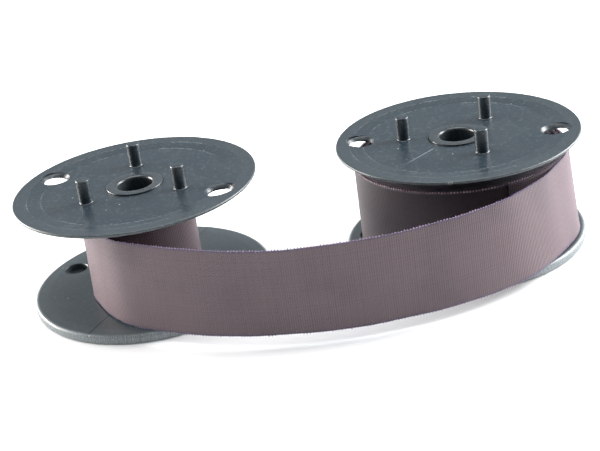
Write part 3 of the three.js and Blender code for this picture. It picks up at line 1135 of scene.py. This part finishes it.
    def hub(self) -> Piece:
        """Builds the hub: a drum with a spigot at each end, the spindle bore and the ribbon slot.

        Returns:
            The hub, in its place.
        """
        low, top = self.tape_low - self.drum_gap, self.drive_under - 0.05
        hub = turned(self.node("hub_moulding"), rounded([
            (BORE_R, self.hub_base, 0.3),
            (SPIGOT_R, self.hub_base, 0.1),
            (SPIGOT_R, low, 0),
            (DRUM_R, low, 0.1),
            (DRUM_R, top, 0.1),
            (SPIGOT_R, top, 0),
            (SPIGOT_R, self.hub_top, 0.14),
            (BORE_R, self.hub_top, 0.5),
        ]), 96)
        ends = ((self.slot_floor, DRUM_R + 2), (-self.slot_half, self.slot_half), (-1, self.hub_top + 1))
        corners = [(x * MM, y * MM, z * MM) for x in ends[0] for y in ends[1] for z in ends[2]]
        faces = [(0, 1, 3, 2), (4, 6, 7, 5), (0, 4, 5, 1), (2, 3, 7, 6), (0, 2, 6, 4), (1, 5, 7, 3)]
        slot = mesh_object("slot_tool", corners, faces)
        slot.data.transform(Matrix.Rotation(math.radians(SLOT_ANGLE), 4, "Z"))
        machined(hub, slot, "DIFFERENCE")
        finish = self.styrene("hub", rings_mm=(), roughness=0.3, body="#293034", band="#3a4245")
        return self.fitted(hub, finish, "hub")

    def winding(self) -> Piece:
        """Winds the ribbon on the drum, as one spiral of tape.

        Returns:
            The wound ribbon, in its place.
        """
        tape = mesh_object(self.node("wound_ribbon"), [(0, 0, 0)], [])
        cloth = self.shop.nylon
        # Painted shade over the pack, fading out along the outermost stretch of tape.
        if self.painted_shade:
            painted_shade_to = self.tape_length / MM - self.shade_fading_length
            cloth = InkedNylon("woven_nylon_wet_with_ink", painted_shade_to_mm=painted_shade_to, edge="#6e6a76").material()
        width = (self.tape_high - self.tape_low) * MM
        self.shop.winding.run(
            tape, cloth, Inner=(DRUM_R + 0.05) * MM, Outer=(self.tape_r - self.tape_thick / 2) * MM,
            Turns=self.turns, Clockwise=-float(self.way), Thickness=self.tape_thick * MM, Width=width,
            Bulge=self.bulge * MM, Bulge_Angle=math.radians(self.turn + EYELET_ANGLE),
            Wander=self.wander * MM, Seed=self.seed, First=math.radians(self.turn + SLOT_ANGLE),
        )
        middle = (self.tape_low + self.tape_high) / 2 * MM
        tape.data.transform(Matrix.Translation(self.axis + Vector((0, 0, middle))))
        self.outward(tape)
        shaded(tape, 40)
        dressed(tape, cloth)
        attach(tape, self.body)
        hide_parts(self.node("winding"))
        self.edge_loops()
        return tape

    def outward(self, tape: Piece) -> None:
        """Turns the tape's faces outwards if its mirror image left them inside out.

        Args:
            tape: The wound tape, a closed mesh.
        """
        points = np.array([v.co for v in tape.data.vertices])
        faces = np.array([p.vertices[:3] for p in tape.data.polygons])
        a, b, c = (points[faces[:, i]] for i in range(3))
        if (a * np.cross(b, c)).sum() < 0:
            tape.data.flip_normals()

    def edge_loops(self, steps: int = 90) -> Piece:
        """Sets the selvedge's loops on both edges of the outermost turn.

        Args:
            steps: Straight stretches in each row.

        Returns:
            The loops, in their place.
        """
        points = []
        for height in (self.tape_low, self.tape_high):
            for k in range(steps + 1):
                back = k / steps
                radius = self.tape_r - self.tape_thick / 2 - back * self.turn_pitch
                angle = math.radians(self.ribbon_end - self.way * back * 360)
                lift = 0.05 * math.sin(5 * angle) - 0.04 * math.sin(back * 9)
                place = (radius * math.cos(angle), radius * math.sin(angle), height + lift)
                points.append(Vector(place) * MM + self.axis)
        edges = [(i, i + 1) for i in range(len(points) - 1) if i != steps]
        loops = mesh_object(self.node("wound_selvedge"), points, [], edges)
        size = Vector(self.loop_size) * MM
        # Painted highlight: the winding's loops use the paler, pinker copy of the selvedge.
        finish = self.shop.packed_loops
        self.shop.selvedge.run(loops, finish, Pitch=self.loop_pitch * MM, Loop=size, Seed=11)
        dressed(loops, finish)
        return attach(loops, self.body)

    def small_parts(self) -> None:
        """Gives the eyelet and the wedge, which are CAD nodes, their finishes."""
        dressed(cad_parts[self.node("eyelet")], self.shop.brass)
        wedge = self.styrene("wedge", rings_mm=(), body="#30383c")
        dressed(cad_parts[self.node("ribbon_wedge")], wedge)

    def build(self) -> None:
        """Builds the whole spool and reports each piece."""
        for piece in (self.drive_flange(), self.base_flange(), self.hub(), self.winding()):
            LOG.info("%s: %d faces", piece.name, len(piece.data.polygons))
        self.small_parts()


# ---- The free ribbon ---------------------------------------------------------------------


@dataclass
class FreeRibbon:
    """The stretch of ribbon between the spools. Sizes are in millimetres.

    It leaves the outside of the left winding at the back, goes round that spool's left side,
    crosses the front in a wide bow and lies down on the right winding.
    """

    shop: Workshop
    left: Spool
    right: Spool
    thick: float = 0.12
    stations: int = 520
    rows: int = 12
    loop_pitch: float = 0.43
    loop_size: tuple[float, float, float] = (0.24, 0.16, 0.36)
    # Points as (degrees, radius) about each axis, and as (x, y) from midway between the axes.
    left_lead: tuple = ((90, 8.25), (110, 8.34), (132, 8.46), (155, 8.6), (180, 8.8), (204, 9.25),
                        (226, 10.35), (243, 12.15))
    bow: tuple = ((-26.6, -14.6), (-19.7, -19.2), (-12.7, -22.5), (-5, -24.8), (4, -25.6),
                  (12, -24.9), (20, -23.1), (27.4, -19.8), (32.7, -15.5))
    right_lead: tuple = ((-44, 16.75), (-24, 16.6), (-4, 16.3), (15, 15.83))
    # How far the lower edge stands outside the upper one, by share of the way along.
    lean: tuple = ((0, 0.0), (0.15, 0.4), (0.3, 0.9), (0.42, 0.2), (0.52, -0.3), (0.65, 0.2),
                   (0.78, 1.0), (0.88, 1.4), (0.95, 0.9), (1, 0.1))
    # The edges' ripples, as (height, length of a wave over 2 pi, start).
    ripples: tuple = ((0.05, 2.3, 0), (0.04, 1.3, 1), (0.05, 6.1, 2))
    held: float = 0.12  # the share at each end where the windings hold the tape and ripples fade
    bend_start: float = -19.0
    bend_end: float = 21.0

    def route(self) -> np.ndarray:
        """Gives evenly spaced points along the ribbon's middle, in plan.

        Returns:
            Points as (x, y) in millimetres in the frame.
        """
        axes = [np.array((spool.axis / MM)[:2]) for spool in (self.left, self.right)]
        leads = [
            [axis + r * np.array([math.cos(math.radians(a)), math.sin(math.radians(a))]) for a, r in lead]
            for axis, lead in zip(axes, (self.left_lead, self.right_lead))
        ]
        line = self.through(np.array([*leads[0], *(sum(axes) / 2 + np.array(self.bow)), *leads[1]]))
        along = np.concatenate([[0], np.cumsum(np.linalg.norm(np.diff(line, axis=0), axis=1))])
        at = np.linspace(0, along[-1], self.stations + 1)
        return np.stack([np.interp(at, along, line[:, k]) for k in range(2)], axis=1)

    @staticmethod
    def through(points: np.ndarray, steps: int = 40) -> np.ndarray:
        """Draws a centripetal Catmull-Rom curve through points.

        Args:
            points: The points that it passes through.
            steps: Straight stretches between each two of them.

        Returns:
            The curve's points.
        """
        ends = np.vstack([2 * points[0] - points[1], points, 2 * points[-1] - points[-2]])
        line = [points[0]]
        for p0, p1, p2, p3 in zip(ends, ends[1:], ends[2:], ends[3:]):
            k0, k1, k2 = (np.linalg.norm(b - a) ** 0.5 for a, b in ((p0, p1), (p1, p2), (p2, p3)))
            out = ((p1 - p0) / k0 - (p2 - p0) / (k0 + k1) + (p2 - p1) / k1) * k1
            into = ((p2 - p1) / k1 - (p3 - p1) / (k1 + k2) + (p3 - p2) / k2) * k1
            for t in np.linspace(0, 1, steps + 1)[1:]:
                line.append(
                    (2 * t**3 - 3 * t**2 + 1) * p1 + (t**3 - 2 * t**2 + t) * out
                    + (3 * t**2 - 2 * t**3) * p2 + (t**3 - t**2) * into
                )
        return np.array(line)

    def surface(self) -> tuple[np.ndarray, np.ndarray, float]:
        """Works out the ribbon's middle surface.

        Returns:
            Its points by station and row, its outward normals by station, and its length, all in
            millimetres.
        """
        line = self.route()
        step = np.gradient(line, axis=0)
        heading = step / np.linalg.norm(step, axis=1)[:, None]
        outward = np.stack([heading[:, 1], -heading[:, 0], np.zeros(len(line))], axis=1)
        length = float(np.linalg.norm(np.diff(line, axis=0), axis=1).sum())
        share = np.linspace(0, 1, len(line))
        lean = np.interp(share, *zip(*self.lean))
        lean = np.convolve(np.pad(lean, 30, mode="edge"), np.ones(61) / 61, mode="valid")
        way = share * length
        low, high = self.left.tape_low, self.left.tape_high
        free = np.clip(np.minimum(share, 1 - share) / self.held, 0, 1)
        wave = free * sum(tall * np.sin(way / long + start) for tall, long, start in self.ripples)
        grid = np.zeros((len(line), self.rows + 1, 3))
        for j, t in enumerate(np.linspace(0, 1, self.rows + 1)):
            lower = 0.5 - t
            edge = (2 * abs(lower)) ** 3
            offset = lean * lower + wave * edge * np.sign(lower)
            grid[:, j, :2] = line + outward[:, :2] * offset[:, None]
            grid[:, j, 2] = low + (high - low) * t + 0.04 * edge * np.sin(way / 3.7 + 4 * t)
        return grid, outward, length

    def tape(self) -> tuple[Piece, float]:
        """Builds the tape itself, with a UV map in millimetres of cloth.

        Returns:
            The tape and its length in millimetres.
        """
        grid, outward, length = self.surface()
        count, rows = grid.shape[:2]
        half = outward[:, None, :] * self.thick / 2
        skin = np.concatenate([grid + half, (grid - half)[:, ::-1]], axis=1)
        around = skin.shape[1]
        faces = [
            (i * around + j, (i + 1) * around + j, (i + 1) * around + k, i * around + k)
            for i in range(count - 1) for j, k in ((j, (j + 1) % around) for j in range(around))
        ]
        faces.append(tuple(range(around)))
        faces.append(tuple((count - 1) * around + j for j in reversed(range(around))))
        tape = mesh_object("free_ribbon", skin.reshape(-1, 3) * MM, faces)
        levels = np.linspace(0, TAPE_WIDTH, rows)
        across = np.concatenate([levels, levels[::-1]])
        way = np.linspace(0, length, count)
        corner = np.array([c.vertex_index for c in tape.data.loops])
        cloth = np.stack([way[corner // around], across[corner % around]], axis=1)
        tape.data.uv_layers.new(name="UVMap").data.foreach_set("uv", cloth.ravel())
        return dressed(shaded(tape, 50), self.shop.nylon), length

    def edge_loops(self) -> Piece:
        """Sets the selvedge's loops along both edges of the tape.

        Returns:
            The loops, in their place.
        """
        grid, _, _ = self.surface()
        points = np.concatenate([grid[:, 0], grid[:, -1]]) * MM
        edges = [(i, i + 1) for i in range(len(points) - 1) if i != self.stations]
        loops = mesh_object("free_ribbon_selvedge", points, [], edges)
        size = Vector(self.loop_size) * MM
        self.shop.selvedge.run(loops, self.shop.loops, Pitch=self.loop_pitch * MM, Loop=size, Seed=5)
        return dressed(loops, self.shop.loops)

    def build(self) -> None:
        """Builds the free ribbon and its selvedge loops, and hides the CAD ribbon runs."""
        tape, length = self.tape()
        loops = self.edge_loops()
        for piece in (tape, loops):
            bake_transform(piece)
            LOG.info("%s: %d faces", piece.name, len(piece.data.polygons))
        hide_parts("left_ribbon_run", "right_ribbon_run")


# ---- The studio --------------------------------------------------------------------------


@dataclass(frozen=True)
class SoftBox:
    """One square area light. Places are in metres; it looks at the object's middle."""

    name: str
    place: tuple[float, float, float]
    size: float
    power: float
    colour: str = "#ffffff"

    def build(self, target: Vector) -> None:
        """Puts the light in the scene.

        Args:
            target: What it looks at.
        """
        data = bpy.data.lights.new(self.name, "AREA")
        data.shape = "SQUARE"
        data.size = self.size
        data.energy = self.power
        data.color = linear(self.colour)[:3]
        light = bpy.data.objects.new(self.name, data)
        light.location = self.place
        light.rotation_euler = (target - Vector(self.place)).to_track_quat("-Z", "Y").to_euler()
        bpy.context.scene.collection.objects.link(light)


@dataclass
class Studio:
    """The pale floor, the soft lights, the room's glow and the camera."""

    camera_place: tuple[float, float, float] = (-0.00338, -0.16989, 0.08491)
    heading: float = 0.843  # degrees to the right of +Y
    tilt: float = -24.39
    roll: float = -8.31
    lens: float = 75.95
    room: str = "#e4edf4"  # white walls behind and above, seen in the flanges as slate grey
    room_strength: float = 0.62
    room_way: tuple[float, float, float] = (0, 0.86, 0.5)  # towards the white walls
    dark_side: str = "#3d3f42"  # the unlit side of the room, behind the camera
    floor_size: float = 3.0
    floor_drop: float = 0.00002
    lights: tuple[SoftBox, ...] = (
        SoftBox("top_soft_box", (0.0, 0.05, 0.6), 0.5, 2.6),
        SoftBox("right_soft_box", (0.48, 0.12, 0.22), 0.35, 6.8),
        SoftBox("left_soft_box", (-0.42, 0.21, 0.09), 0.3, 5.4, "#fff9f4"),
    )

    def camera(self) -> None:
        """Sets the camera from its heading, tilt and roll."""
        heading, tilt, roll = (math.radians(a) for a in (self.heading, self.tilt, self.roll))
        level = math.cos(tilt)
        ahead = Vector((math.sin(heading) * level, math.cos(heading) * level, math.sin(tilt)))
        right = ahead.cross(Vector((0, 0, 1))).normalized()
        up = right.cross(ahead)
        across = math.cos(roll) * right + math.sin(roll) * up
        above = across.cross(ahead)
        data = bpy.data.cameras.new("studio_camera")
        data.sensor_width = 36.0
        data.lens = self.lens
        data.clip_start = 0.01
        data.dof.use_dof = False
        camera = bpy.data.objects.new("studio_camera", data)
        turn = Matrix((across, above, -ahead)).transposed().to_4x4()
        camera.matrix_world = Matrix.Translation(Vector(self.camera_place)) @ turn
        bpy.context.scene.collection.objects.link(camera)
        bpy.context.scene.camera = camera

    def floor(self) -> None:
        """Lays the pale floor just under the spools."""
        half, low = self.floor_size / 2, -self.floor_drop
        corners = [(-half, -half, low), (half, -half, low), (half, half, low), (-half, half, low)]
        floor = mesh_object("white_floor", corners, [(0, 1, 2, 3)])
        floor.data.materials.append(WhiteSweep("matt_white_paper").material())

    def glow(self) -> None:
        """Lights the room: white walls that fade to a dark side."""
        world = bpy.data.worlds.new("bright_room")
        world.use_nodes = True
        tree = world.node_tree
        way = add_node(tree, COORDINATES).node.outputs["Generated"]
        facing = add_node(tree, VECTOR_MATHS, way, self.room_way, operation="DOT_PRODUCT")
        share = add_node(tree, MATHS, facing, 0.5, 0.5, operation="MULTIPLY_ADD")
        fade = add_node(tree, STEP, share, 0.3, 0.6)
        wall = add_node(tree, MIX, fade, linear(self.dark_side), linear(self.room), **COLOURS)
        background = tree.nodes["Background"]
        tree.links.new(wall, background.inputs["Color"])
        background.inputs["Strength"].default_value = self.room_strength
        bpy.context.scene.world = world

    def build(self) -> None:
        """Builds the studio."""
        bpy.context.scene.view_settings.view_transform = "Standard"
        self.glow()
        middle = (CAD_BOX[0] + CAD_BOX[1]) / 2
        for light in self.lights:
            light.build(middle)
        self.floor()
        self.camera()


def main() -> None:
    """Builds the studio, both spools and the free ribbon."""
    logging.basicConfig(level=logging.INFO, format="%(name)s %(message)s")
    Studio().build()
    shop = Workshop.opened()
    left = Spool(shop, Side.LEFT, turn=-29.5, ribbon_end=90, clockwise=False, seed=3.0)
    # The right spool's winding gets painted shade over its pack.
    right = Spool(
        shop, Side.RIGHT, turn=166.5, ribbon_end=15, clockwise=True, seed=8.0,
        face_mark=Mark.SCRATCH, face_mark_turn=222, painted_shade=True,
    )
    for spool in (left, right):
        spool.build()
    FreeRibbon(shop, left, right).build()


if __name__ == "__main__":
    main()
